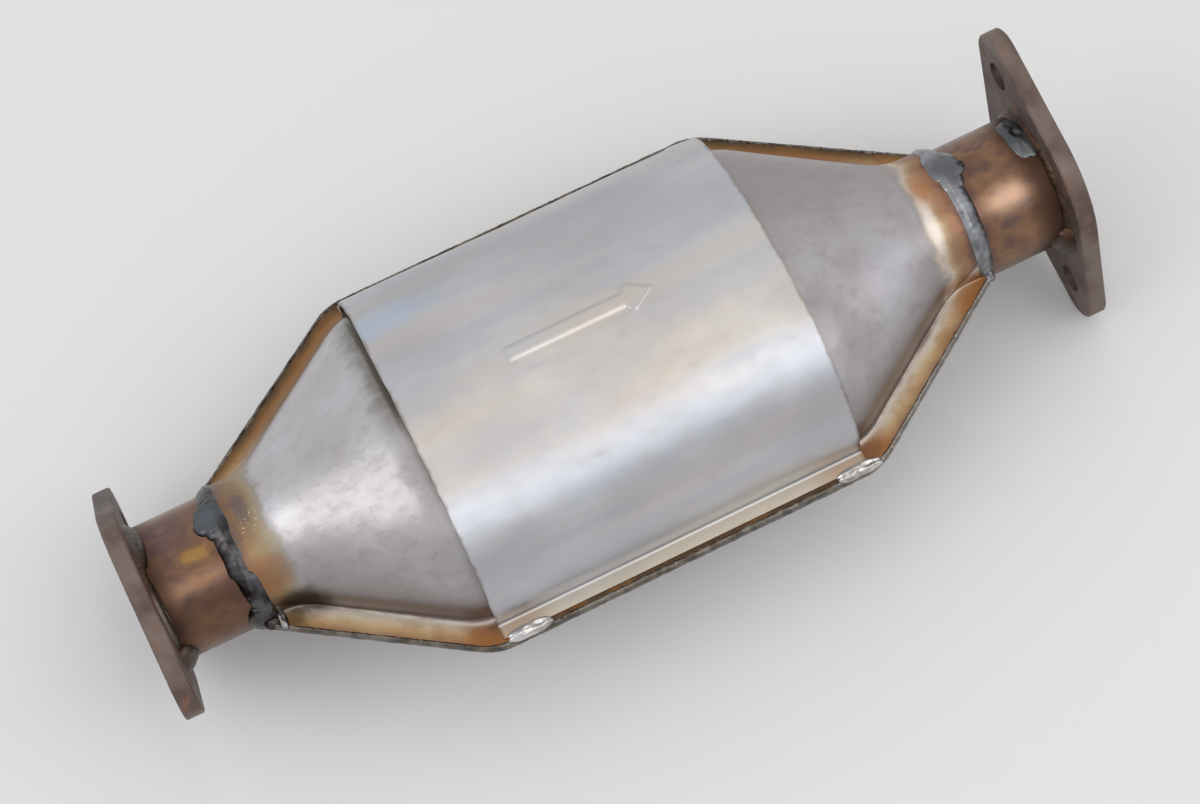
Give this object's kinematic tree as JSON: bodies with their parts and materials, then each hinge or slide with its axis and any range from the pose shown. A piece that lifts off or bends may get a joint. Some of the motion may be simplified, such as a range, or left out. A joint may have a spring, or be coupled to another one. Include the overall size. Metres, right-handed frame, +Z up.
{
  "type": "catalytic converter",
  "caption": "Clamshell catalytic converter with a heat shield, welded seams, stub pipes and a clocked oval two-bolt flange at each end.",
  "frame": {"origin": "centre of the inlet flange's gasket face, on the pipe axis", "axes": "+X with the gas flow, from inlet to outlet; +Z up through the heat shield, square to the seam plane; +Y to the left looking along the flow"},
  "size_m": [0.3647, 0.154, 0.1009],
  "materials": {
    "shell": "satin pressed stainless sheet with heat tint by the welds",
    "shield": "bright satin stainless sheet",
    "pipe": "stainless tube with bronze and violet heat tint",
    "flange": "hot rolled plate with brown scale and light rust",
    "weld": "grey weld bead",
    "ceramic": "matt washcoated honeycomb",
    "mat": "matt ceramic fibre",
    "mesh": "knitted wire mesh"
  },
  "bodies": {
    "root": {"upper_shell": "shell", "lower_shell": "shell", "heat_shield": "shield", "inlet_pipe": "pipe", "outlet_pipe": "pipe", "inlet_flange": "flange", "outlet_flange": "flange", "inlet_neck_weld": "weld", "inlet_flange_weld": "weld", "outlet_neck_weld": "weld", "outlet_flange_weld": "weld", "left_seam_weld": "weld", "front_left_tack_weld": "weld", "rear_left_tack_weld": "weld", "right_seam_weld": "weld", "front_right_tack_weld": "weld", "rear_right_tack_weld": "weld", "front_brick": "ceramic", "front_mat": "mat", "front_entry_seal": "mesh", "front_exit_seal": "mesh", "rear_brick": "ceramic", "rear_mat": "mat", "rear_entry_seal": "mesh", "rear_exit_seal": "mesh"}
  },
  "joints": []
}
